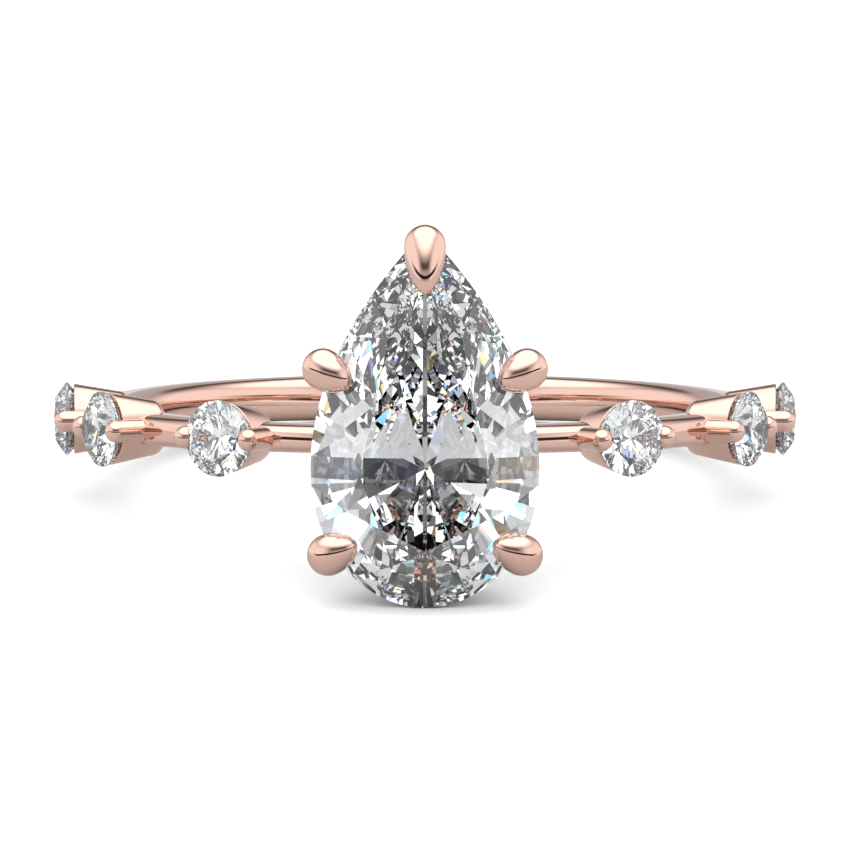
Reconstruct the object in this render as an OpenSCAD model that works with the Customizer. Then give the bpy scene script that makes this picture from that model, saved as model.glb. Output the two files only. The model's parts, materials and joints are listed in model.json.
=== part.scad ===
// Engagement ring: a pear brilliant held by five claws, with three round
// brilliants in collets down each shoulder of a slender tapering shank.
// The ring lies at rest on the pear's round end and the back of the shank.
// Origin: centre of the finger hole. The pear faces -Y and its tip points up.

/* [Finger hole] */
// Inside diameter of the shank, a US size 6
finger_d = 16.5; // [14:0.1:22]

/* [Shank] */
// Thickness of the shank, from the finger outwards
shank_thick = 1.35; // [1.1:0.05:1.8]
// Width of the shank along the finger, under the pear
shank_front_w = 0.78; // [0.7:0.02:1.2]
// Width of the shank along the finger, at the back
shank_back_w = 1.35; // [1.2:0.05:2.4]
// Radius of the shank's outer edges
shank_edge_r = 0.3; // [0.1:0.02:0.34]

/* [Pear brilliant] */
// Width of the pear across its belly
pear_w = 6.1; // [5:0.1:7.4]
// Length of the wings, from the belly to the tip
pear_wing_l = 6.4; // [5.2:0.1:7.8]
// Length of the round end, from the belly to the heel
pear_round_l = 3.65; // [3:0.05:4.4]
// Drop of the belly below the middle of the shank
pear_drop = 0.59; // [0:0.05:1]
// Thickness of the pear's girdle
pear_girdle_t = 0.15; // [0.05:0.01:0.25]
// Height of the pear's crown
pear_crown_h = 0.85; // [0.6:0.05:1.1]
// Depth of the pear's pavilion
pear_pavilion_h = 2.45; // [2:0.05:3]
// Space between the pear's culet and the shank
culet_gap = 0.075; // [0.05:0.005:0.5]

/* [Accent brilliants] */
// Diameter of each accent stone
accent_d = 2.08; // [1.6:0.02:2.5]
// Height of an accent stone's crown
accent_crown_h = 0.31; // [0.2:0.01:0.4]
// Depth of an accent stone's pavilion
accent_pavilion_h = 0.9; // [0.7:0.02:1]
// Thickness of an accent stone's girdle
accent_girdle_t = 0.06; // [0.03:0.01:0.1]
// Height of the accent girdles above the shank
accent_lift = 0.6; // [0.5:0.02:0.9]
// Angle round the finger from the pear to the first accent stone
accent_1_a = 33.5; // [31:0.5:36]
// Angle round the finger from the pear to the second accent stone
accent_2_a = 61.7; // [59:0.5:64]
// Angle round the finger from the pear to the third accent stone
accent_3_a = 86.3; // [85:0.5:92]

/* [Collets] */
// Distance that an accent stone overhangs its collet's rim
rim_overhang = 0.04; // [0.02:0.01:0.08]
// Drop from an accent stone's girdle to its collet's rim
rim_drop = 0.2; // [0.15:0.01:0.3]
// Radius that a collet loses from its rim to its foot
collet_taper = 0.21; // [0.1:0.01:0.3]
// Radius of the rounding round a collet's foot
collet_foot_r = 0.3; // [0.1:0.02:0.34]
// Thickness of shank left under a collet's foot
shank_web = 0.18; // [0.15:0.01:0.4]

/* [Bead prongs] */
// Diameter of the round prongs beside each accent stone
prong_d = 0.63; // [0.5:0.01:0.7]
// Distance from an accent stone's edge out to a prong's axis
prong_out = 0.01; // [0:0.01:0.1]
// Height of a prong's dome above the accent girdle
prong_top = 0.37; // [0.32:0.01:0.5]

/* [Claws] */
// Diameter of the five claws' shafts
claw_shaft_d = 0.84; // [0.7:0.02:0.9]
// Width of a claw's dome over the stone's edge
claw_dome_d = 1.12; // [1:0.02:1.2]
// Length of a claw from the centre of its dome to its point
claw_point_l = 0.92; // [0.8:0.02:1.1]
// Distance of the shoulder claws' domes outside the pear's edge
shoulder_claw_out = 0.2; // [0.15:0.01:0.3]
// Distance of the heel claws' domes outside the pear's edge
heel_claw_out = 0.14; // [0.1:0.01:0.3]
// Distance of the tip claw's dome inside the pear's tip
tip_claw_in = 0.4; // [0.3:0.02:0.5]
// Radius of the rounding at a claw's point
claw_point_r = 0.15; // [0.1:0.01:0.25]
// Length of the tip claw from the centre of its dome to its point
tip_claw_point_l = 1.41; // [1.2:0.02:1.6]
// Height of the claws' domes above the pear's girdle
claw_dome_z = 0.2; // [0.15:0.01:0.3]
// Rise of the claws along the crown, in degrees
claw_rise = 27; // [20:1:32]
// Place of the shoulder claws, as a share of the wings' length
shoulder_share = 0.41; // [0.35:0.01:0.5]
// Direction in which the shoulder claws point out, in degrees
shoulder_claw_a = 29.4; // [20:0.2:35]
// Place of the heel claws, in degrees round from the belly
heel_place_a = 36.5; // [33:0.5:42]
// Direction in which the heel claws point out, in degrees
heel_claw_a = -24.7; // [-35:0.1:-20]

/* [Gallery] */
// Wall of the upper rail, under the girdle
upper_rail_wall = 0.36; // [0.3:0.02:0.4]
// Height of the upper rail
upper_rail_h = 0.45; // [0.35:0.05:0.6]
// Drop from the girdle to the top of the upper rail
upper_rail_drop = 0.75; // [0.6:0.05:0.9]
// Size of the lower rail's outline, as a share of the pear's
lower_rail_share = 0.5; // [0.45:0.01:0.55]
// Wall of the lower rail, on the shank
lower_rail_wall = 0.5; // [0.4:0.02:0.6]
// Height of the lower rail above the shank
lower_rail_h = 0.6; // [0.5:0.05:0.8]

/* [Fit] */
// Space left for solder or setting between two pieces
seat_gap = 0.015; // [0.01:0.005:0.03]

/* [Hidden] */
BORE_FN = 180;
ROUND_FN = 48;
WING_STEPS = 14;
HEEL_STEPS = 10;
FOOT_STEPS = 6;
EGG_STEPS = 8;
TABLE_SHARE = 0.57;
STAR_SHARE = 0.74;
LOWER_SHARE = 0.24;
MAINS = 8;
TIP_A = 90;
// Turns the seam of a round piece away from the ring's plane of symmetry
SEAM_A = 30;
OVER = 1;

ROSE_GOLD = [0.88, 0.67, 0.57];
DIAMOND = [0.86, 0.9, 0.94, 0.75];

finger_r = finger_d / 2;
shank_r = finger_r + shank_thick;
accent_r = accent_d / 2;
accent_girdle_r = shank_r + accent_lift;
pear_r = pear_w / 2;
pear_girdle_r = shank_r + culet_gap + pear_pavilion_h + pear_girdle_t / 2;

// The surface that the ring lies on touches the heel of the pear's girdle
// and the rounded lower edge of the shank's back. This is its slope.
heel_y = -(pear_girdle_r - pear_girdle_t / 2);
heel_z = -(pear_drop + pear_round_l);
back_y = shank_r - shank_edge_r;
back_z = -(shank_back_w / 2 - shank_edge_r);
rest_span = norm([heel_y - back_y, heel_z - back_z]);
rest_tilt = atan((heel_z - back_z) / (heel_y - back_y)) - asin(shank_edge_r / rest_span);

// Collet
collet_rim_r = accent_r - rim_overhang;
collet_foot_z = -(accent_girdle_r - finger_r - shank_web);

// Gallery, in heights above the pear's girdle plane
upper_rail_top = -upper_rail_drop;
upper_rail_in = pear_share_at(upper_rail_top) + seat_gap / pear_r;
upper_rail_out = upper_rail_in + upper_rail_wall / pear_r;
shank_top = shank_r - pear_girdle_r;
lower_rail_top = shank_top + lower_rail_h;
lower_rail_in = lower_rail_share - lower_rail_wall / pear_r;
shaft_foot_z = shank_top + claw_shaft_d / 3;

SIDES = [["left", -1], ["right", 1]];
STATIONS = [["first", accent_1_a], ["second", accent_2_a], ["third", accent_3_a]];
BEADS = [["front", -1], ["back", 1]];
CLAWS = ["claw_tip", "claw_left_shoulder", "claw_right_shoulder", "claw_left_heel", "claw_right_heel"];

function accent_name(kind, side, station) = str(kind, "_", side[0], "_", station[0]);
function bead_name(side, station, bead) = str(accent_name("prong", side, station), "_", bead[0]);

// Share of the pear's outline that its pavilion has left at a height z
function pear_share_at(z) = 1 + (z + pear_girdle_t / 2) / pear_pavilion_h;

// The pear's outline in the girdle plane, with its belly on the X axis.
// A wing is a parabola, upright at the belly, and the round end is half an ellipse.
function wing_point(t) = [pear_r * (1 - t * t), pear_wing_l * t];
function heel_point(a) = [pear_r * cos(a), -pear_round_l * sin(a)];
function wing_normal(t) = atan2(2 * pear_r * t, pear_wing_l);
function heel_normal(a) = -atan2(sin(a) / pear_round_l, cos(a) / pear_r);

// A quarter turn of u runs along one wing or one side of the round end
function pear_point(u) =
    u <= 1 ? wing_point(1 - u) :
    u <= 2 ? heel_point(90 * (u - 1)) :
    [-pear_point(4 - u)[0], pear_point(4 - u)[1]];
function pear_outline(share) = concat(
    [for (i = [0 : WING_STEPS - 1]) share * pear_point(i / WING_STEPS)],
    [for (i = [0 : 2 * HEEL_STEPS]) share * pear_point(1 + i / HEEL_STEPS)],
    [for (i = [1 : WING_STEPS - 1]) share * pear_point(3 + i / WING_STEPS)]
);
function accent_point(u) = accent_r * [sin(90 * u), cos(90 * u)];

// Places ------------------------------------------------------------------

// Turns what is drawn about the shank's own axis to the way the ring lies
module lying() {
    rotate([-rest_tilt, 0, 0]) children();
}

// At an accent stone: X along the shank, Y along the finger, Z out through the table
module at_station(side, station) {
    lying() rotate([0, 0, side[1] * station[1]]) translate([0, -accent_girdle_r, 0])
        rotate([90, 0, 0]) children();
}

// At the pear: X to the right, Y towards the tip, Z out through the table
module at_pear() {
    lying() translate([0, -pear_girdle_r, -pear_drop]) rotate([90, 0, 0]) children();
}

// The same place, for something drawn about the shank's axis
module from_pear() {
    rotate([-90, 0, 0]) translate([0, pear_girdle_r, pear_drop]) children();
}

// Brilliants --------------------------------------------------------------

// Rings of corners: table, star, girdle top, girdle bottom, lower and culet.
// kind is 0 for the pear and 1 for an accent stone.
function edge_point(kind, u) = kind == 0 ? pear_point(u) : accent_point(u);
function ring(kind, share, z, steps, shift) = [
    for (i = [0 : steps - 1]) let (p = edge_point(kind, 4 * ((i + shift) % steps) / steps))
        [share * p[0], share * p[1], z]
];
module brilliant(kind, crown_h, girdle_t, pavilion_h) {
    top = girdle_t / 2;
    star_z = top + crown_h * (1 - STAR_SHARE) / (1 - TABLE_SHARE);
    lower_z = -top - pavilion_h * (1 - LOWER_SHARE);
    edge = 2 * MAINS;
    points = concat(
        ring(kind, TABLE_SHARE, top + crown_h, MAINS, 0),
        ring(kind, STAR_SHARE, star_z, MAINS, 0.5),
        ring(kind, 1, top, edge, 0),
        ring(kind, 1, -top, edge, 0),
        ring(kind, LOWER_SHARE, lower_z, MAINS, 0.5),
        [[0, 0, -top - pavilion_h]]
    );
    star = MAINS;
    upper = 2 * MAINS;
    under = upper + edge;
    lower = under + edge;
    culet = lower + MAINS;
    table = [[for (i = [0 : MAINS - 1]) i]];
    crown = [for (i = [0 : MAINS - 1]) let (
        next = (i + 1) % MAINS,
        mid = upper + 2 * i + 1,
        mid_next = upper + (2 * i + 2) % edge
    ) each [
        [next, i, star + i],
        [star + i, i, upper + 2 * i],
        [star + i, upper + 2 * i, mid],
        [star + i, mid, mid_next],
        [next, star + i, mid_next]
    ]];
    girdle = [for (i = [0 : edge - 1]) let (next = (i + 1) % edge)
        [upper + i, under + i, under + next, upper + next]];
    pavilion = [for (i = [0 : MAINS - 1]) let (
        mid = under + 2 * i + 1,
        mid_next = under + (2 * i + 2) % edge
    ) each [
        [lower + i, under + 2 * i, culet],
        [lower + i, mid, under + 2 * i],
        [lower + i, mid_next, mid],
        [culet, mid_next, lower + i]
    ]];
    color(DIAMOND) polyhedron(points, concat(table, crown, girdle, pavilion));
}

module pear_diamond() {
    at_pear() brilliant(0, pear_crown_h, pear_girdle_t, pear_pavilion_h);
}

module accent_diamond(side, station) {
    at_station(side, station)
        brilliant(1, accent_crown_h, accent_girdle_t, accent_pavilion_h);
}

// The round space that an accent stone needs, with room for setting
module accent_room() {
    r = accent_r + seat_gap;
    top = accent_girdle_t / 2 + seat_gap;
    table_r = accent_r * TABLE_SHARE + seat_gap;
    rotate_extrude($fn = ROUND_FN) polygon([
        [0, -top - accent_pavilion_h],
        [r, -top],
        [r, top],
        [table_r, top + accent_crown_h],
        [0, top + accent_crown_h]
    ]);
}

// Shank and collets -------------------------------------------------------

// A collet's outside, grown by a gap where it cuts its seat
module collet_outside(gap) {
    rim_r = collet_rim_r + gap;
    foot_r = collet_rim_r - collet_taper + gap;
    foot_z = collet_foot_z - gap;
    round_r = collet_foot_r;
    rotate_extrude($fn = ROUND_FN) polygon(concat(
        [[0, -rim_drop], [0, foot_z]],
        [for (i = [0 : FOOT_STEPS]) let (a = 90 * i / FOOT_STEPS)
            [foot_r - round_r * (1 - sin(a)), foot_z + round_r * (1 - cos(a))]],
        [[rim_r, -rim_drop]]
    ));
}

module collet(side, station) {
    color(ROSE_GOLD) at_station(side, station) difference() {
        collet_outside(0);
        accent_room();
    }
}

// The shank before its seats are cut: one turned band with rounded outer edges
module shank_band() {
    half_w = shank_back_w / 2;
    edge_x = shank_r - shank_edge_r;
    edge_y = half_w - shank_edge_r;
    rotate_extrude($fn = BORE_FN) polygon(concat(
        [[finger_r, half_w], [finger_r, -half_w]],
        [for (i = [0 : FOOT_STEPS]) let (a = 90 * i / FOOT_STEPS)
            [edge_x + shank_edge_r * sin(a), -edge_y - shank_edge_r * cos(a)]],
        [for (i = [0 : FOOT_STEPS]) let (a = 90 * i / FOOT_STEPS)
            [edge_x + shank_edge_r * cos(a), edge_y + shank_edge_r * sin(a)]]
    ));
}

// The wedge that narrows the shank from its back to the pear
module shank_taper() {
    front_w = shank_front_w / 2;
    back_w = shank_back_w / 2;
    rotate([90, 0, 90]) translate([0, 0, -shank_r - OVER])
        linear_extrude(2 * (shank_r + OVER)) polygon([
            [-shank_r, -front_w],
            [shank_r, -back_w],
            [shank_r, back_w],
            [-shank_r, front_w]
        ]);
}

module shank() {
    color(ROSE_GOLD) difference() {
        lying() intersection() {
            shank_band();
            shank_taper();
        }
        for (side = SIDES, station = STATIONS)
            at_station(side, station) collet_outside(seat_gap);
    }
}

// Everything inside the shank's outer face, as a round room about its axis
module shank_room() {
    cylinder(r = shank_r + seat_gap, h = 2 * pear_girdle_r, center = true, $fn = BORE_FN);
}

// Bead prongs -------------------------------------------------------------

module bead_prong(side, station, bead) {
    dome_z = prong_top - prong_d / 2;
    bar_l = dome_z + accent_lift + shank_thick / 2;
    color(ROSE_GOLD) difference() {
        at_station(side, station)
            translate([side[1] * bead[1] * (accent_r + prong_out), 0, dome_z]) {
                translate([0, 0, -bar_l]) cylinder(d = prong_d, h = bar_l, $fn = ROUND_FN);
                sphere(d = prong_d, $fn = ROUND_FN);
            }
        lying() shank_room();
        at_station(side, station) {
            collet_outside(seat_gap);
            accent_room();
        }
    }
}

// Head --------------------------------------------------------------------

// A plate with the pear's outline, between two heights
module plate(share, top, bottom) {
    translate([0, 0, bottom]) linear_extrude(top - bottom) polygon(pear_outline(share));
}

module upper_rail_body(gap) {
    top = upper_rail_top + gap;
    bottom = upper_rail_top - upper_rail_h - gap;
    difference() {
        plate(upper_rail_out + gap / pear_r, top, bottom);
        plate(upper_rail_in - gap / pear_r, top + OVER, bottom - OVER);
    }
}

// The upper rail opens at the tip, where the tip claw's shaft passes through it
module upper_rail() {
    slot_w = claw_shaft_d + 2 * seat_gap;
    slot_h = upper_rail_h + 2 * OVER;
    color(ROSE_GOLD) at_pear() difference() {
        upper_rail_body(0);
        translate([-slot_w / 2, 0, upper_rail_top - upper_rail_h - OVER])
            cube([slot_w, pear_wing_l, slot_h]);
    }
}

module lower_rail() {
    color(ROSE_GOLD) at_pear() difference() {
        plate(lower_rail_share, lower_rail_top, shank_top - shank_thick / 2);
        plate(lower_rail_in, lower_rail_top + OVER, shank_top - shank_thick);
        from_pear() shank_room();
    }
}

// The stone inside one stretch of its edge, as the room that a claw leaves for it.
// p is a point of the outline and a is the direction in which the edge faces.
module pear_edge_room(p, a) {
    run = p * [cos(a), sin(a)];
    side_w = pear_w;
    top = pear_girdle_t / 2 + seat_gap;
    translate(p) rotate([0, 0, a]) rotate([90, 0, 0]) translate([0, 0, -side_w / 2])
        linear_extrude(side_w) polygon([
            [seat_gap, -top],
            [seat_gap, top],
            [-run * (1 - TABLE_SHARE), top + pear_crown_h],
            [-run, top + pear_crown_h],
            [-run, -top - pear_pavilion_h]
        ]);
}

// A round bar from p to q
module bar(p, q, d) {
    v = q - p;
    translate(p) rotate([0, acos(v[2] / norm(v)), atan2(v[1], v[0])]) rotate([0, 0, SEAM_A])
        cylinder(d = d, h = norm(v), $fn = ROUND_FN);
}

// An egg with its round end at the origin and its point along +Z: two balls and
// the cone that touches both
module egg(d, point_l) {
    r = d / 2;
    point_z = point_l - claw_point_r;
    lean = asin((r - claw_point_r) / point_z);
    rotate([0, 0, SEAM_A]) rotate_extrude($fn = ROUND_FN) polygon(concat(
        [for (i = [0 : EGG_STEPS]) let (a = (90 + lean) * i / EGG_STEPS)
            [r * sin(a), -r * cos(a)]],
        [for (i = [0 : EGG_STEPS]) let (a = 90 + lean + (90 - lean) * i / EGG_STEPS)
            [claw_point_r * max(0, sin(a)), point_z - claw_point_r * cos(a)]]
    ));
}

// A claw stands at the outline point edge and faces outwards in the direction a.
// Its dome lies the distance out beyond that point.
function claw_dome(edge, out, a) = [edge[0] + out * cos(a), edge[1] + out * sin(a), claw_dome_z];
function claw_neck(edge, out, a) =
    let (neck_out = out + (claw_dome_d - claw_shaft_d) / 2)
    [edge[0] + neck_out * cos(a), edge[1] + neck_out * sin(a), 0];

// A shaft up from the lower rail, a round shoulder and an egg over the crown
module claw(edge, out, a, point_l) {
    foot = [edge[0] * lower_rail_share, edge[1] * lower_rail_share, shaft_foot_z];
    bar(foot, claw_neck(edge, out, a), claw_shaft_d);
    translate(claw_neck(edge, out, a)) rotate([0, 0, SEAM_A])
        sphere(d = claw_shaft_d, $fn = ROUND_FN);
    translate(claw_dome(edge, out, a)) rotate([0, 0, a]) rotate([0, claw_rise - 90, 0])
        egg(claw_dome_d, point_l);
}

// What the foot of every claw is cut by: the lower rail and the shank
module foot_seat() {
    plate(lower_rail_share + seat_gap / pear_r, lower_rail_top + seat_gap, shank_top - shank_thick);
    from_pear() shank_room();
}

module side_claw(side, edge, normal_a, out, facing_a) {
    color(ROSE_GOLD) at_pear() mirror([side < 0 ? 1 : 0, 0, 0]) difference() {
        claw(edge, out, facing_a, claw_point_l);
        pear_edge_room(edge, normal_a);
        upper_rail_body(seat_gap);
        foot_seat();
    }
}

module shoulder_claw(side) {
    edge = wing_point(shoulder_share);
    side_claw(side, edge, wing_normal(shoulder_share), shoulder_claw_out, shoulder_claw_a);
}

module heel_claw(side) {
    edge = heel_point(heel_place_a);
    side_claw(side, edge, heel_normal(heel_place_a), heel_claw_out, heel_claw_a);
}

module tip_claw() {
    tip = wing_point(1);
    a = wing_normal(1);
    color(ROSE_GOLD) at_pear() difference() {
        claw(tip, -tip_claw_in, TIP_A, tip_claw_point_l);
        intersection() {
            pear_edge_room(tip, a);
            pear_edge_room(tip, 180 - a);
        }
        foot_seat();
    }
}

// The ring ----------------------------------------------------------------

shank();
lower_rail();
upper_rail();
pear_diamond();
tip_claw();  // claw_tip
for (side = SIDES) {
    shoulder_claw(side[1]);
    heel_claw(side[1]);
    for (station = STATIONS) {
        collet(side, station);
        accent_diamond(side, station);
        for (bead = BEADS)
            bead_prong(side, station, bead);
    }
}
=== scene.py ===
"""An engagement ring lying at rest: pear brilliant, five claws, six round brilliants in collets."""

import json
import math

import bmesh
import bpy
import numpy as np
from mathutils import Matrix, Vector


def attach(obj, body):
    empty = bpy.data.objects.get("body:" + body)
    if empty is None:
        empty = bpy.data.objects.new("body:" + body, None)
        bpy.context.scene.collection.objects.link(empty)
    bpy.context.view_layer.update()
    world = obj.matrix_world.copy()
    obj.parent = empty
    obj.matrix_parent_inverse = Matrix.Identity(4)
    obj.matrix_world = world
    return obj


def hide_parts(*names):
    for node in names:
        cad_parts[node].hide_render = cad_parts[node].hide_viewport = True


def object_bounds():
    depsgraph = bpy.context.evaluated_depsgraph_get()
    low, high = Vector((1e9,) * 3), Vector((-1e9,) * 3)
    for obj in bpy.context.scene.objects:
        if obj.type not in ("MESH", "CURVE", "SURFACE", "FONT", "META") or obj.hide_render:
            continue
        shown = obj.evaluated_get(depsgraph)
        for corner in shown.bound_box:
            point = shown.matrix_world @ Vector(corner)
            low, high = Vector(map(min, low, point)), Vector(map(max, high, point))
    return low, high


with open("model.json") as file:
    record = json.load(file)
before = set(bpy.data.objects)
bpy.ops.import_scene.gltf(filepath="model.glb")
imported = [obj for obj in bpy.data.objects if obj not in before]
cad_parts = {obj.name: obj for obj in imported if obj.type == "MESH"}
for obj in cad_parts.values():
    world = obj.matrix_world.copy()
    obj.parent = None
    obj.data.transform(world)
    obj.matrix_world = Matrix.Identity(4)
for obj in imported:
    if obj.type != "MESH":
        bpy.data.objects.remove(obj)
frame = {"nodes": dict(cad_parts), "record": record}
cad_low, cad_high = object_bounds()

MM = 0.001

# ---------------------------------------------------------------------------
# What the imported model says. Everything is modelled in millimetres about the
# ring's own axes (Z along the finger, the pear towards -Y), then laid down.
# ---------------------------------------------------------------------------

hole = next(m for m in frame["record"]["mounts"] if m["name"] == "finger_hole")
LEAN = math.atan2(hole["axis"][1], hole["axis"][2])
LYING = Matrix.Rotation(-LEAN, 4, "X")
PLACE = LYING @ Matrix.Scale(MM, 4)
FINGER_R = hole["dims"]["r_mm"]


def ring_points(node):
    """A CAD node's corners, in millimetres about the ring's own axes."""
    mesh = frame["nodes"][node].data
    flat = np.empty(3 * len(mesh.vertices))
    mesh.vertices.foreach_get("co", flat)
    turn = np.array(PLACE.inverted().to_3x3())
    return flat.reshape(-1, 3) @ turn.T


def stone_seat(node):
    """The angle round the finger, girdle height, radius and girdle thickness of an accent stone."""
    points = ring_points(node)
    middle = points.mean(axis=0)
    angle = math.atan2(middle[0], -middle[1])
    out = np.array([math.sin(angle), -math.cos(angle), 0.0])
    height = points @ out
    width = np.linalg.norm(points - np.outer(height, out), axis=1)
    rim = width > width.max() - 0.001
    return angle, height[rim].mean(), width.max(), np.ptp(height[rim])


shank_points = ring_points("shank")
SHANK_R = np.hypot(shank_points[:, 0], shank_points[:, 1]).max()
SHANK_BACK_W = 2 * shank_points[:, 2].max()
SHANK_FRONT_W = 2 * shank_points[shank_points[:, 1] < -0.99 * SHANK_R, 2].max()

pear_points = ring_points("pear_diamond")
belly = pear_points[pear_points[:, 0] > pear_points[:, 0].max() - 0.001]
PEAR_HALF_W = belly[:, 0].mean()
PEAR_GIRDLE_T = np.ptp(belly[:, 1])
PEAR_GIRDLE_R = -belly[:, 1].mean()
BELLY_Z = belly[:, 2].mean()
PEAR_WING_L = pear_points[:, 2].max() - BELLY_Z
PEAR_ROUND_L = BELLY_Z - pear_points[:, 2].min()
PEAR_CROWN_H = -pear_points[:, 1].min() - PEAR_GIRDLE_R - PEAR_GIRDLE_T / 2
PEAR_PAVILION_H = pear_points[:, 1].max() + PEAR_GIRDLE_R - PEAR_GIRDLE_T / 2

STATIONS = [stone_seat(f"diamond_right_{n}") for n in ("first", "second", "third")]
ACCENT_GIRDLE_R = STATIONS[0][1]
ACCENT_R = STATIONS[0][2]
ACCENT_GIRDLE_T = STATIONS[0][3]

HEAD = Matrix.Translation((0, -PEAR_GIRDLE_R, BELLY_Z)) @ Matrix.Rotation(math.pi / 2, 4, "X")

# Sizes of the finish and of the worked metal, in millimetres
GAP = 0.012
SLIVER = 0.0001
SHANK_POWER = 3.0
SHANK_CORNERS = 72
COLLET_RIM_R = ACCENT_R - 0.04
COLLET_RIM_DROP = 0.2
COLLET_TAPER = 0.21
COLLET_FOOT_R = 0.3
COLLET_FOOT_Z = -(ACCENT_GIRDLE_R - FINGER_R - 0.19)
PRONG_R = 0.315
PRONG_TOP = 0.37
ACCENT_CROWN_H = 0.31
ACCENT_PAVILION_H = 0.9
TABLE_SHARE = 0.57
STAR_SHARE = 0.74
LOWER_SHARE = 0.24

# ---------------------------------------------------------------------------
# Node trees
# ---------------------------------------------------------------------------


class Wire:
    """One socket of a node tree, so that a tree is written as expressions."""

    def __init__(self, tree, socket=None):
        self.tree, self.socket = tree, socket

    def make(self, kind, settings=None, values=None, out=0):
        """Any node: its settings first, then the values or links of its sockets."""
        node = self.tree.nodes.new(kind)
        for name, value in (settings or {}).items():
            if name == "stops":
                for i, (place, colour) in enumerate(value):
                    stops = node.color_ramp.elements
                    stop = stops[i] if i < 2 else stops.new(place)
                    stop.position, stop.color = place, colour
            else:
                setattr(node, name, value)
        for name, value in (values or {}).items():
            socket = node.inputs[name]
            if isinstance(value, Wire):
                self.tree.links.new(value.socket, socket)
            else:
                socket.default_value = value
        return Wire(self.tree, node.outputs[out] if node.outputs else None)

    def math(self, operation, *values):
        return self.make("ShaderNodeMath", {"operation": operation}, dict(enumerate(values)))

    def __add__(self, other):
        return self.math("ADD", self, other)

    def __sub__(self, other):
        return self.math("SUBTRACT", self, other)

    def __mul__(self, other):
        return self.math("MULTIPLY", self, other)

    def __truediv__(self, other):
        return self.math("DIVIDE", self, other)

    def __radd__(self, other):
        return self.math("ADD", other, self)

    def __rsub__(self, other):
        return self.math("SUBTRACT", other, self)

    def __rmul__(self, other):
        return self.math("MULTIPLY", other, self)

    def __rtruediv__(self, other):
        return self.math("DIVIDE", other, self)

    def step(self, low, high):
        """0 below low, 1 above high, and smooth between."""
        settings = {"interpolation_type": "SMOOTHSTEP"}
        return self.make("ShaderNodeMapRange", settings, {0: self, 1: low, 2: high})

    def mixed(self, a, b):
        """Colour a where this is 0 and colour b where it is 1."""
        return self.make("ShaderNodeMix", {"data_type": "RGBA"}, {0: self, 6: a, 7: b}, 2)


def material(name):
    made = bpy.data.materials.new(name)
    made.use_nodes = True
    made.node_tree.nodes.clear()
    return made, Wire(made.node_tree)


def rose_gold():
    made, wire = material("rose_gold")
    place = wire.make("ShaderNodeTexCoord", out="Object")
    cloud = wire.make("ShaderNodeTexNoise", {}, {"Vector": place, "Scale": 260.0, "Detail": 3.0})
    fine = wire.make("ShaderNodeTexNoise", {}, {"Vector": place, "Scale": 9000.0, "Detail": 2.0})
    colour = cloud.mixed((0.86, 0.565, 0.465, 1), (0.89, 0.595, 0.495, 1))
    # Painted shade: seen through a stone, the metal is painted dark grey, so that it doesn't tint the stone
    through = wire.make("ShaderNodeLightPath", out="Is Transmission Ray")
    colour = through.mixed(colour, (0.22, 0.22, 0.24, 1))
    bump = wire.make(
        "ShaderNodeBump", {}, {"Strength": 0.02, "Distance": 0.00001, "Height": fine}
    )
    surface = wire.make("ShaderNodeBsdfPrincipled", {}, {
        "Base Color": colour,
        "Metallic": 1.0,
        "Roughness": 0.015 + 0.025 * cloud,
        "Normal": bump,
    })
    wire.make("ShaderNodeOutputMaterial", {}, {"Surface": surface})
    return made


def diamond():
    made, wire = material("diamond")
    place = wire.make("ShaderNodeTexCoord", out="Object")
    cloud = wire.make("ShaderNodeTexNoise", {}, {"Vector": place, "Scale": 300.0, "Detail": 2.0})
    colour = cloud.mixed((0.985, 0.99, 1, 1), (1, 0.995, 0.985, 1))
    surface = wire.make("ShaderNodeBsdfPrincipled", {}, {
        "Base Color": colour,
        "Roughness": 0.0,
        "IOR": 2.417,
        "Transmission Weight": 1.0,
    })
    wire.make("ShaderNodeOutputMaterial", {}, {"Surface": surface})
    return made


GOLD = rose_gold()
DIAMOND = diamond()

# ---------------------------------------------------------------------------
# Making pieces
# ---------------------------------------------------------------------------


def mesh_from(bm, name):
    bmesh.ops.remove_doubles(bm, verts=bm.verts, dist=1e-5)
    bmesh.ops.recalc_face_normals(bm, faces=bm.faces)
    mesh = bpy.data.meshes.new(name)
    bm.to_mesh(mesh)
    bm.free()
    return mesh


def shade(mesh, crease):
    """Smooth shading that breaks at edges sharper than crease, in degrees."""
    if crease:
        mesh.shade_smooth()
        mesh.set_sharp_from_angle(angle=math.radians(crease))
    else:
        mesh.shade_flat()


def finish_piece(name, mesh, metal, crease, *nodes):
    """Lays a mesh drawn in millimetres down as a piece that stands for CAD nodes."""
    mesh.transform(PLACE)
    shade(mesh, crease)
    mesh.materials.clear()
    mesh.materials.append(metal)
    piece = bpy.data.objects.new(name, mesh)
    bpy.context.scene.collection.objects.link(piece)
    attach(piece, "root")
    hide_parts(*nodes)
    return piece


def turned(profile, steps):
    """A closed bmesh turned about Z from a profile of (radius, height)."""
    bm = bmesh.new()
    rings = []
    for radius, height in profile:
        if radius < 1e-6:
            rings.append([bm.verts.new((0, 0, height))] * steps)
            continue
        angles = [2 * math.pi * i / steps for i in range(steps)]
        rings.append([bm.verts.new((radius * math.cos(a), radius * math.sin(a), height)) for a in angles])
    for low, high in zip(rings, rings[1:]):
        for i in range(steps):
            j = (i + 1) % steps
            corners = list(dict.fromkeys((low[i], low[j], high[j], high[i])))
            if len(corners) > 2:
                bm.faces.new(corners)
    return bm


def arc(centre, radius, start, end, steps):
    """Points of an arc in (radius, height), angles in degrees from the radius axis."""
    angles = [math.radians(start + (end - start) * i / steps) for i in range(steps + 1)]
    return [(centre[0] + radius * math.cos(a), centre[1] + radius * math.sin(a)) for a in angles]


def scratch_object(mesh):
    made = bpy.data.objects.new("scratch", mesh)
    bpy.context.scene.collection.objects.link(made)
    return made


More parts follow.
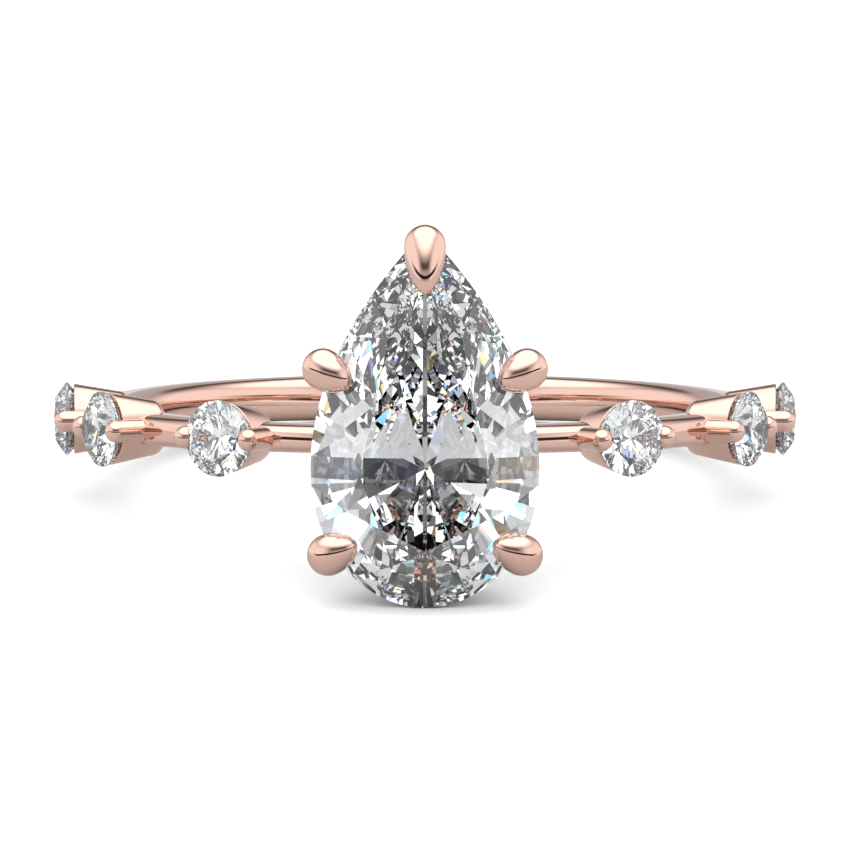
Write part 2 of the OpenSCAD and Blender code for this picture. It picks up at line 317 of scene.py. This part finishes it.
def settled(source):
    """The plain mesh that an object's modifiers give. The object is thrown away."""
    graph = bpy.context.evaluated_depsgraph_get()
    mesh = bpy.data.meshes.new_from_object(source.evaluated_get(graph))
    bpy.data.objects.remove(source)
    return mesh


def volume(mesh):
    bm = bmesh.new()
    bm.from_mesh(mesh)
    size = bm.calc_volume(signed=True)
    bm.free()
    return size


def tidied(mesh):
    """Closes up the slivers that carving leaves."""
    bm = bmesh.new()
    bm.from_mesh(mesh)
    bmesh.ops.remove_doubles(bm, verts=bm.verts, dist=SLIVER)
    bmesh.ops.dissolve_degenerate(bm, edges=bm.edges, dist=SLIVER)
    bmesh.ops.triangulate(bm, faces=[f for f in bm.faces if len(f.verts) > 4])
    bm.to_mesh(mesh)
    bm.free()
    return mesh


def carved(mesh, cutter):
    """The mesh with the cutter's shape taken out of it."""
    body, tool = scratch_object(mesh), scratch_object(cutter)
    cut = body.modifiers.new("carve", "BOOLEAN")
    cut.operation, cut.solver, cut.object = "DIFFERENCE", "EXACT", tool
    before = volume(mesh)
    made = tidied(settled(body))
    bpy.data.objects.remove(tool)
    if not 0 < volume(made) < before - SLIVER:
        raise RuntimeError(f"a cut removed nothing: {before} to {volume(made)} cubic millimetres")
    return made


# ---------------------------------------------------------------------------
# Outlines
# ---------------------------------------------------------------------------


def pear_edge(u):
    """The pear's outline about its belly: u runs 0 to 4 from the tip, clockwise."""
    if u > 2:
        x, y = pear_edge(4 - u)
        return -x, y
    if u <= 1:
        along = 1 - u
        return PEAR_HALF_W * (1 - along * along), PEAR_WING_L * along
    a = math.pi / 2 * (u - 1)
    return PEAR_HALF_W * math.cos(a), -PEAR_ROUND_L * math.sin(a)


def round_edge(u):
    a = math.pi / 2 * u
    return ACCENT_R * math.sin(a), ACCENT_R * math.cos(a)


def outward(edge, u):
    """The direction in which an outline faces at u."""
    small = 0.001
    a, b = edge((u - small) % 4), edge((u + small) % 4)
    return Vector((-(b[1] - a[1]), b[0] - a[0], 0)).normalized() * -1


# ---------------------------------------------------------------------------
# Brilliants, cut facet by facet
# ---------------------------------------------------------------------------


def plane_through(a, b, c):
    """The plane through three points, facing away from the stone's middle."""
    normal = (Vector(b) - Vector(a)).cross(Vector(c) - Vector(a)).normalized()
    if normal.dot(Vector(a)) < 0:
        normal = -normal
    return Vector(a), normal


def edge_plane(edge, u, z, through):
    """The plane that touches the outline at u and height z and passes through a point."""
    x, y = edge(u)
    out = outward(edge, u)
    along = Vector((-out.y, out.x, 0))
    a = Vector((x, y, z))
    return plane_through(a, a + along, Vector(through))


def height_on(plane, x, y):
    point, normal = plane
    return point.z - (normal.x * (x - point.x) + normal.y * (y - point.y)) / normal.z


def brilliant_planes(edge, crown_h, girdle_t, pavilion_h, star_share, lower_share):
    """The facets of a brilliant over any outline: table, bezels, stars, upper and lower halves."""
    mains = 8
    top, bottom = girdle_t / 2, -girdle_t / 2
    step = 4 / mains
    planes = [(Vector((0, 0, top + crown_h)), Vector((0, 0, 1)))]
    culet = (0, 0, bottom - pavilion_h)
    table = [(*(TABLE_SHARE * c for c in edge(k * step)), top + crown_h) for k in range(mains)]
    bezels = [edge_plane(edge, k * step, top, table[k]) for k in range(mains)]
    unders = [edge_plane(edge, k * step, bottom, culet) for k in range(mains)]
    for k in range(mains):
        after = (k + 1) % mains
        u = (k + 0.5) * step
        x, y = (star_share * c for c in edge(u))
        star = (x, y, min(height_on(bezels[k], x, y), height_on(bezels[after], x, y)))
        planes.append(plane_through(table[k], table[after], star))
        x, y = (lower_share * c for c in edge(u))
        lower = (x, y, max(height_on(unders[k], x, y), height_on(unders[after], x, y)))
        for side in (-0.25, 0.25):
            planes.append(edge_plane(edge, (u + side * step) % 4, top, star))
            planes.append(edge_plane(edge, (u + side * step) % 4, bottom, lower))
    return planes + bezels + unders


def cut_stone(edge, planes, grow, steps=120):
    """A bmesh of the block with this outline after every plane has been cut, grown all round."""
    reach = 10
    bm = bmesh.new()
    block = []
    for i in range(steps):
        u = 4 * (i + 0.5) / steps
        x, y = edge(u)
        out = outward(edge, u)
        block.append(bm.verts.new((x + grow * out.x, y + grow * out.y, -reach)))
    face = bm.faces.new(block)
    wall = bmesh.ops.extrude_face_region(bm, geom=[face])
    for v in wall["geom"]:
        if isinstance(v, bmesh.types.BMVert):
            v.co.z = reach
    for point, normal in planes:
        everything = bm.verts[:] + bm.edges[:] + bm.faces[:]
        bmesh.ops.bisect_plane(
            bm, geom=everything, dist=1e-5, clear_outer=True,
            plane_co=point + grow * normal, plane_no=normal,
        )
        rim = [e for e in bm.edges if e.is_boundary]
        if rim:
            bmesh.ops.contextual_create(bm, geom=rim)
    return bm


accent_planes = brilliant_planes(
    round_edge, ACCENT_CROWN_H, ACCENT_GIRDLE_T, ACCENT_PAVILION_H, STAR_SHARE, LOWER_SHARE
)
pear_planes = brilliant_planes(
    pear_edge, PEAR_CROWN_H, PEAR_GIRDLE_T, PEAR_PAVILION_H, STAR_SHARE, LOWER_SHARE
)

pear_mesh = mesh_from(cut_stone(pear_edge, pear_planes, 0.0), "pear")
pear_mesh.transform(HEAD)
finish_piece("pear_brilliant", pear_mesh, DIAMOND, 0, "pear_diamond")
pear_room = mesh_from(cut_stone(pear_edge, pear_planes, GAP), "pear_room")

# ---------------------------------------------------------------------------
# What stands at the accent stations: one piece drawn once, and copied by a tree
# ---------------------------------------------------------------------------


def geometry_tree(name, inputs):
    """A geometry tree with a geometry input and the named number inputs."""
    tree = bpy.data.node_groups.new(name, "GeometryNodeTree")
    face = tree.interface
    face.new_socket("Geometry", in_out="INPUT", socket_type="NodeSocketGeometry")
    for label, kind in inputs.items():
        face.new_socket(label, in_out="INPUT", socket_type=kind)
    face.new_socket("Geometry", in_out="OUTPUT", socket_type="NodeSocketGeometry")
    given = tree.nodes.new("NodeGroupInput")
    wires = {s.name: Wire(tree, s) for s in given.outputs if s.name}
    return tree, wires


def close_tree(tree, wire, metal):
    whole = wire.make("GeometryNodeRealizeInstances", {}, {"Geometry": wire})
    whole = wire.make("GeometryNodeSetMaterial", {}, {"Geometry": whole, "Material": metal})
    end = tree.nodes.new("NodeGroupOutput")
    tree.links.new(whole.socket, end.inputs[0])


def grown_by(tree, source, **values):
    """The mesh that a tree makes of a source object with these inputs."""
    modifier = source.modifiers.new("grow", "NODES")
    modifier.node_group = tree
    sockets = {s.name: s.identifier for s in tree.interface.items_tree if s.in_out == "INPUT"}
    for name, value in values.items():
        modifier[sockets[name.replace("_", " ")]] = value
    return settled(source)


def station_tree(metal):
    """Copies a piece to the six accent stones, and turned about again where Turns is 2."""
    numbers = ("Girdle Radius", "First Angle", "Second Angle", "Third Angle")
    inputs = {**{n: "NodeSocketFloat" for n in numbers}, "Turns": "NodeSocketInt"}
    tree, wires = geometry_tree("at stations", inputs)
    wire = wires["Turns"]
    points = wire.make("GeometryNodePoints", {}, {"Count": 6 * wires["Turns"]})
    index = wire.make("GeometryNodeInputIndex")
    turn = (index / 6).math("FLOOR", index / 6)
    seat = index - 6 * turn
    side = (seat / 3).math("FLOOR", seat / 3)
    station = seat - 3 * side
    angle = wires["First Angle"] * station.math("COMPARE", station, 0.0, 0.1)
    angle = angle + wires["Second Angle"] * station.math("COMPARE", station, 1.0, 0.1)
    angle = angle + wires["Third Angle"] * station.math("COMPARE", station, 2.0, 0.1)
    angle = angle * (2 * side - 1)
    radius = wires["Girdle Radius"]
    place = wire.make("ShaderNodeCombineXYZ", {}, {
        "X": radius * angle.math("SINE", angle),
        "Y": -1 * radius * angle.math("COSINE", angle),
    })
    facing = wire.make("ShaderNodeCombineXYZ", {}, {
        "X": math.pi / 2,
        "Y": math.pi * turn,
        "Z": angle,
    })
    points = wire.make("GeometryNodeSetPosition", {}, {"Geometry": points, "Position": place})
    copies = wire.make("GeometryNodeInstanceOnPoints", {}, {
        "Points": points, "Instance": wires["Geometry"], "Rotation": facing,
    })
    close_tree(tree, copies, metal)
    return tree


def at_stations(mesh, metal, turns=1):
    return grown_by(
        station_tree(metal), scratch_object(mesh),
        Girdle_Radius=float(ACCENT_GIRDLE_R),
        First_Angle=STATIONS[0][0], Second_Angle=STATIONS[1][0], Third_Angle=STATIONS[2][0],
        Turns=turns,
    )


def station_nodes(kind, *endings):
    """The CAD nodes of one kind at the six stations."""
    names = [f"{kind}_{s}_{n}" for s in ("left", "right") for n in ("first", "second", "third")]
    return [n + e for n in names for e in (endings or ("",))]


def collet_profile(grow):
    rim, foot = COLLET_RIM_R + grow, COLLET_RIM_R - COLLET_TAPER + grow
    foot_z = COLLET_FOOT_Z - grow
    corner = (foot - COLLET_FOOT_R, foot_z + COLLET_FOOT_R)
    soft = 0.03
    return [(0, foot_z)] + arc(corner, COLLET_FOOT_R, -90, 0, 12) + arc(
        (rim - soft, -COLLET_RIM_DROP - soft), soft, 0, 90, 4
    )


def collet_room():
    """The room that a collet takes up, to be cut out of what it is let into."""
    return mesh_from(turned([*collet_profile(GAP), (0, -COLLET_RIM_DROP)], 96), "collet_room")


def collet_mesh():
    seat_r = ACCENT_R - (COLLET_RIM_DROP - ACCENT_GIRDLE_T / 2) * ACCENT_R / ACCENT_PAVILION_H
    seat = [
        (seat_r + 2 * GAP, -COLLET_RIM_DROP),
        (0, -ACCENT_GIRDLE_T / 2 - ACCENT_PAVILION_H - 2 * GAP),
    ]
    return mesh_from(turned(collet_profile(0) + seat, 96), "collet")


def prong_mesh(accent_room):
    dome_z = PRONG_TOP - PRONG_R
    foot_z = SHANK_R - ACCENT_GIRDLE_R - 0.1
    profile = [(0, foot_z), (PRONG_R, foot_z)] + arc((0, dome_z), PRONG_R, 0, 90, 16)
    bm = turned(profile, 48)
    bmesh.ops.translate(bm, verts=bm.verts, vec=(ACCENT_R + 0.01, 0, 0))
    mesh = carved(mesh_from(bm, "prong"), accent_room)
    return carved(mesh, collet_room())


accent_mesh = mesh_from(cut_stone(round_edge, accent_planes, 0.0, 96), "accent")
accent_room = mesh_from(cut_stone(round_edge, accent_planes, GAP, 96), "accent_room")

finish_piece("round_brilliants", at_stations(accent_mesh, DIAMOND), DIAMOND, 0, *station_nodes("diamond"))
finish_piece("turned_collets", at_stations(collet_mesh(), GOLD), GOLD, 35, *station_nodes("collet"))
finish_piece(
    "bead_prongs", at_stations(prong_mesh(accent_room), GOLD, 2), GOLD, 35,
    *station_nodes("prong", "_front", "_back"),
)

# ---------------------------------------------------------------------------
# Shank: a section swept along its path by a tree
# ---------------------------------------------------------------------------


def curve_object(points, closed):
    curve = bpy.data.curves.new("path", "CURVE")
    curve.dimensions = "3D"
    spline = curve.splines.new("POLY")
    spline.points.add(len(points) - 1)
    for point, (x, y) in zip(spline.points, points):
        point.co = (x, y, 0, 1)
    spline.use_cyclic_u = closed
    made = bpy.data.objects.new("path", curve)
    bpy.context.scene.collection.objects.link(made)
    return made


def soft_box(half_x, half_y, power, steps):
    """A rounded rectangle as a super-ellipse, with gently bowed faces."""
    made = []
    for i in range(steps):
        a = 2 * math.pi * i / steps
        c, s = math.cos(a), math.sin(a)
        made.append((
            half_x * math.copysign(abs(c) ** (2 / power), c),
            half_y * math.copysign(abs(s) ** (2 / power), s),
        ))
    return made


def shank_tree():
    """Sweeps a section round the finger and narrows it evenly from the back to the pear."""
    tree, wires = geometry_tree("shank", {"Radius": "NodeSocketFloat", "Front Share": "NodeSocketFloat"})
    wire = wires["Radius"]
    path = wire.make("GeometryNodeCurvePrimitiveCircle", {}, {"Resolution": 480, "Radius": wires["Radius"]})
    path = wire.make("GeometryNodeSetCurveNormal", {"mode": "Z_UP"}, {"Curve": path})
    band = wire.make("GeometryNodeCurveToMesh", {}, {"Curve": path, "Profile Curve": wires["Geometry"]})
    spot = wire.make("GeometryNodeInputPosition")
    parts = [wire.make("ShaderNodeSeparateXYZ", {}, {0: spot}, k) for k in range(3)]
    back = (parts[1] / wires["Radius"] + 1) / 2
    share = wires["Front Share"] + (1 - wires["Front Share"]) * back
    place = wire.make("ShaderNodeCombineXYZ", {}, {"X": parts[0], "Y": parts[1], "Z": parts[2] * share})
    band = wire.make("GeometryNodeSetPosition", {}, {"Geometry": band, "Position": place})
    close_tree(tree, band, GOLD)
    return tree


def shank_mesh():
    middle = (FINGER_R + SHANK_R) / 2
    section = soft_box((SHANK_R - FINGER_R) / 2, SHANK_BACK_W / 2, SHANK_POWER, SHANK_CORNERS)
    return grown_by(
        shank_tree(), curve_object(section, True),
        Radius=middle, Front_Share=float(SHANK_FRONT_W / SHANK_BACK_W),
    )


shank = carved(shank_mesh(), at_stations(collet_room(), GOLD))
finish_piece("polished_shank", shank, GOLD, 40, "shank")

# ---------------------------------------------------------------------------
# Claws: an egg lying over the stone's edge on a round shaft
# ---------------------------------------------------------------------------

CLAW_SHAFT_R = 0.42
CLAW_DOME_R = 0.56
CLAW_TAPER = 1.2
CLAW_DOME_Z = 0.2
CLAW_RISE = 27.0
RAIL_SHARE = 0.5
FOOT_RISE = 0.28
RAIL_CORNER = 0.06
RAIL_STEPS = 240
DRUM_REACH = 4
SLOT_H = 2.0
SHANK_TOP_Z = SHANK_R - PEAR_GIRDLE_R


def egg_mesh(point_l):
    """A ball drawn out along Z to a soft point."""
    back = arc((0, 0), CLAW_DOME_R, -90, 0, 20)
    turns = [math.pi / 2 * i / 32 for i in range(1, 33)]
    nose = [(CLAW_DOME_R * max(math.cos(t), 0) ** CLAW_TAPER, point_l * math.sin(t)) for t in turns]
    return mesh_from(turned(back + nose, 96), "egg")


def rod_mesh(start, end, radius):
    """A round-topped rod from start to end."""
    start, end = Vector(start), Vector(end)
    length = (end - start).length
    bm = turned([(0, 0), (radius, 0)] + arc((0, length), radius, 0, 90, 14), 72)
    mesh = mesh_from(bm, "rod")
    turn = (end - start).to_track_quat("Z", "Y").to_matrix().to_4x4()
    mesh.transform(Matrix.Translation(start) @ turn)
    return mesh


def merged(mesh, other):
    body, tool = scratch_object(mesh), scratch_object(other)
    join = body.modifiers.new("join", "BOOLEAN")
    join.operation, join.solver, join.object = "UNION", "EXACT", tool
    made = settled(body)
    bpy.data.objects.remove(tool)
    return made


def shaft_ends(edge, out, facing):
    """The foot and the neck of a claw's shaft about the pear."""
    a = math.radians(facing)
    away = Vector((math.cos(a), math.sin(a), 0))
    edge = Vector((*edge, 0))
    foot = RAIL_SHARE * edge + Vector((0, 0, SHANK_TOP_Z + FOOT_RISE))
    return foot, edge + (out + CLAW_DOME_R - CLAW_SHAFT_R) * away


def rail_mesh(inner, outer, bottom, top, grow=0.0):
    """A gallery rail in the ring: a soft-cornered bar between two scaled outlines of the pear."""
    left, right = inner * PEAR_HALF_W - grow, outer * PEAR_HALF_W + grow
    low, high, soft = bottom - grow, top + grow, RAIL_CORNER
    section = (
        arc((right - soft, high - soft), soft, 0, 90, 5)
        + arc((left + soft, high - soft), soft, 90, 180, 5)
        + arc((left + soft, low + soft), soft, 180, 270, 5)
        + arc((right - soft, low + soft), soft, 270, 360, 5)
    )
    bm = bmesh.new()
    loops = []
    for i in range(RAIL_STEPS):
        x, y = pear_edge(4 * (i + 0.5) / RAIL_STEPS)
        loops.append([bm.verts.new((x * w / PEAR_HALF_W, y * w / PEAR_HALF_W, z)) for w, z in section])
    for a, b in zip(loops, loops[1:] + loops[:1]):
        for j in range(len(section)):
            k = (j + 1) % len(section)
            bm.faces.new((a[j], a[k], b[k], b[j]))
    mesh = mesh_from(bm, "rail")
    mesh.transform(HEAD)
    return mesh


def in_head(mesh):
    """A copy of a mesh drawn about the pear, placed in the ring."""
    placed = mesh.copy()
    placed.transform(HEAD)
    return placed


UPPER_RAIL = (0.729, 0.847, -1.2, -0.75)
LOWER_RAIL = (0.336, RAIL_SHARE, SHANK_TOP_Z - 0.675, SHANK_TOP_Z + 0.6)


def claw_mesh(edge, out, facing, point_l, *rooms):
    """A claw's egg and shaft in one, with room for the stone and the rails taken out."""
    a = math.radians(facing)
    dome = Vector((*edge, CLAW_DOME_Z)) + out * Vector((math.cos(a), math.sin(a), 0))
    egg = egg_mesh(point_l)
    lie = Matrix.Rotation(math.radians(CLAW_RISE - 90), 4, "Y")
    egg.transform(Matrix.Translation(dome) @ Matrix.Rotation(a, 4, "Z") @ lie)
    mesh = merged(egg, rod_mesh(*shaft_ends(edge, out, facing), CLAW_SHAFT_R))
    mesh.transform(HEAD)
    for room in (in_head(pear_room), *rooms):
        mesh = carved(mesh, room)
    return mesh


def along_wing(t):
    """A point of the pear's edge, from the belly at 0 to the tip at 1."""
    return PEAR_HALF_W * (1 - t * t), PEAR_WING_L * t


def mirrored(mesh):
    """The same piece on the ring's other side."""
    other = mesh.copy()
    other.transform(Matrix.Scale(-1, 4, (1, 0, 0)))
    other.flip_normals()
    return other


TIP, TIP_OUT, TIP_FACING, TIP_POINT_L = along_wing(1), -0.4, 90.0, 1.41
SIDE_POINT_L = 0.92
SIDE_CLAWS = (
    ("shoulder", along_wing(0.41), 0.2, 29.4),
    ("heel", pear_edge(1 + 36.5 / 90), 0.14, -24.7),
)
upper_room, lower_room = rail_mesh(*UPPER_RAIL, GAP), rail_mesh(*LOWER_RAIL, GAP)
tip_claw = claw_mesh(TIP, TIP_OUT, TIP_FACING, TIP_POINT_L, lower_room.copy())
finish_piece("claw_at_tip", tip_claw, GOLD, 35, "claw_tip")
for place, edge, out, facing in SIDE_CLAWS:
    right = claw_mesh(edge, out, facing, SIDE_POINT_L, upper_room.copy(), lower_room.copy())
    finish_piece(f"claw_at_left_{place}", mirrored(right), GOLD, 35, f"claw_left_{place}")
    finish_piece(f"claw_at_right_{place}", right, GOLD, 35, f"claw_right_{place}")

def slot_mesh():
    """A straight-sided slot at the pear's tip, which lets the tip claw's shaft through the rail."""
    bm = bmesh.new()
    bmesh.ops.create_cube(bm, size=1)
    mesh = mesh_from(bm, "slot")
    width, depth = 2 * (CLAW_SHAFT_R + GAP), PEAR_WING_L
    size = Matrix.Diagonal((width, depth, SLOT_H, 1))
    mesh.transform(Matrix.Translation((0, depth / 2, UPPER_RAIL[2])) @ size)
    return in_head(mesh)


tip_slot = slot_mesh()
upper_rail = carved(rail_mesh(*UPPER_RAIL), tip_slot)
finish_piece("gallery_upper_rail", upper_rail, GOLD, 35, "upper_rail")
drum_r = SHANK_R + GAP
drum = [(0, -DRUM_REACH), (drum_r, -DRUM_REACH), (drum_r, DRUM_REACH), (0, DRUM_REACH)]
shank_drum = mesh_from(turned(drum, 480), "drum")
lower_rail = carved(rail_mesh(*LOWER_RAIL), shank_drum)
finish_piece("gallery_lower_rail", lower_rail, GOLD, 35, "lower_rail")

# ---------------------------------------------------------------------------
# Camera, floor, light
# ---------------------------------------------------------------------------

LENS_MM = 267.25
CAMERA_D = 180.0
CAMERA_RISE = math.radians(3.94)
SENSOR = 36.0
AIM_DROP = 0.231
FLOOR_R = 0.125


def set_camera():
    data = bpy.data.cameras.new("camera")
    camera = bpy.data.objects.new("camera", data)
    bpy.context.scene.collection.objects.link(camera)
    data.sensor_width = SENSOR
    data.lens = LENS_MM
    spot = LYING @ Vector((0, -CAMERA_D * math.cos(CAMERA_RISE), CAMERA_D * math.sin(CAMERA_RISE)))
    aim = Vector((0, 0, -AIM_DROP))
    camera.location = spot * MM
    camera.rotation_euler = (aim - spot).to_track_quat("-Z", "Y").to_euler()
    data.clip_start, data.clip_end = 0.01, 10
    bpy.context.scene.camera = camera


def set_floor():
    bm = bmesh.new()
    bmesh.ops.create_circle(bm, cap_ends=True, segments=96, radius=FLOOR_R)
    mesh = mesh_from(bm, "floor")
    mesh.transform(Matrix.Translation((0, 0, cad_low.z)))
    made, wire = material("paper")
    place = wire.make("ShaderNodeTexCoord", out="Object")
    grain = wire.make("ShaderNodeTexNoise", {}, {"Vector": place, "Scale": 900.0})
    # Pale to the camera; in what the metal and the stones show of it, the floor is painted darker, a
    # painted shade in its reflections
    seen = wire.make("ShaderNodeLightPath", out="Is Camera Ray")
    through = wire.make("ShaderNodeLightPath", out="Is Transmission Ray")
    dim = through.mixed((0.42, 0.42, 0.42, 1), (0.46, 0.47, 0.48, 1))
    colour = seen.mixed(dim, grain.mixed((0.9, 0.9, 0.9, 1), (0.92, 0.92, 0.92, 1)))
    surface = wire.make("ShaderNodeBsdfPrincipled", {}, {
        "Base Color": colour,
        "Roughness": 0.9,
        "Specular IOR Level": 0.0,
    })
    wire.make("ShaderNodeOutputMaterial", {}, {"Surface": surface})
    mesh.materials.append(made)
    floor = bpy.data.objects.new("floor", mesh)
    bpy.context.scene.collection.objects.link(floor)


def set_light():
    """A bright tent with a dark strip along the horizon for the metal. Light that leaves a stone
    sees a patchy tent instead, with flecks of colour that stand in for the stones' fire."""
    world = bpy.data.worlds.new("studio")
    bpy.context.scene.world = world
    world.use_nodes = True
    world.node_tree.nodes.clear()
    wire = Wire(world.node_tree)
    spot = wire.make("ShaderNodeTexCoord", out="Generated")
    x, y, z = (wire.make("ShaderNodeSeparateXYZ", {}, {0: spot}, k) for k in range(3))
    wide = x.math("ABSOLUTE", x)
    front = 1 - y.step(-0.5, 0.2)
    lid = z.step(0.55, 0.8)
    sides = wide.step(0.45, 0.8) * (1 - z.step(0.5, 0.7))
    tent = 0.5 + 1.3 * lid + 0.6 * sides
    strip = 1 - (z - 0.095).math("ABSOLUTE", z - 0.095).step(0.05, 0.085)
    metal = tent * (1 - 0.97 * strip * front)
    metal = metal * (1 - 0.8 * z.step(0.25, 0.4) * (1 - z.step(0.45, 0.6)) * (1 - wide.step(0.3, 0.6)))

    patch = wire.make("ShaderNodeTexNoise", {}, {"Vector": spot, "Scale": 6.0, "Detail": 2.0})
    patch = patch.step(0.45, 0.51)
    near = 1 - (x * x + (z - 0.15) * (z - 0.15)).step(0.06, 0.2)
    near = near * (1 - y.step(-0.6, -0.2))
    stone = (0.12 + 1.75 * patch) * (1 - 0.95 * near) + 0.3 * lid
    fleck = wire.make("ShaderNodeTexNoise", {}, {"Vector": spot, "Scale": 16.0, "Detail": 1.0})
    hue = wire.make("ShaderNodeTexNoise", {}, {"Vector": spot, "Scale": 11.0, "Detail": 0.0})
    fire = [
        (0.36, (0.1, 0.2, 1, 1)),
        (0.46, (0.1, 0.85, 1, 1)),
        (0.54, (0.9, 0.95, 1, 1)),
        (0.64, (1, 0.66, 0.15, 1)),
    ]
    tint = wire.make("ShaderNodeValToRGB", {"stops": fire}, {0: hue})
    stone_colour = (0.85 * fleck.step(0.58, 0.63)).mixed((0.96, 0.98, 1.0, 1), tint)

    through = wire.make("ShaderNodeLightPath", out="Is Transmission Ray")
    seen = wire.make("ShaderNodeLightPath", out="Is Camera Ray")
    soft = wire.make("ShaderNodeLightPath", out="Is Diffuse Ray")
    power = metal + through * (stone - metal)
    power = power + soft * (1.95 - power)
    power = power + seen * (1.05 - power)
    colour = through.mixed((1, 1, 1, 1), stone_colour)
    light = wire.make("ShaderNodeBackground", {}, {"Color": colour, "Strength": power})
    wire.make("ShaderNodeOutputWorld", {}, {"Surface": light})


set_camera()
set_floor()
set_light()

scene = bpy.context.scene
scene.view_settings.view_transform = "Standard"
scene.cycles.max_bounces = 32
scene.cycles.transmission_bounces = 32
scene.cycles.glossy_bounces = 12
scene.cycles.caustics_reflective = False
scene.cycles.caustics_refractive = False
scene.cycles.blur_glossy = 0.0
scene.cycles.use_denoising = True
scene.cycles.denoiser = "OPENIMAGEDENOISE"
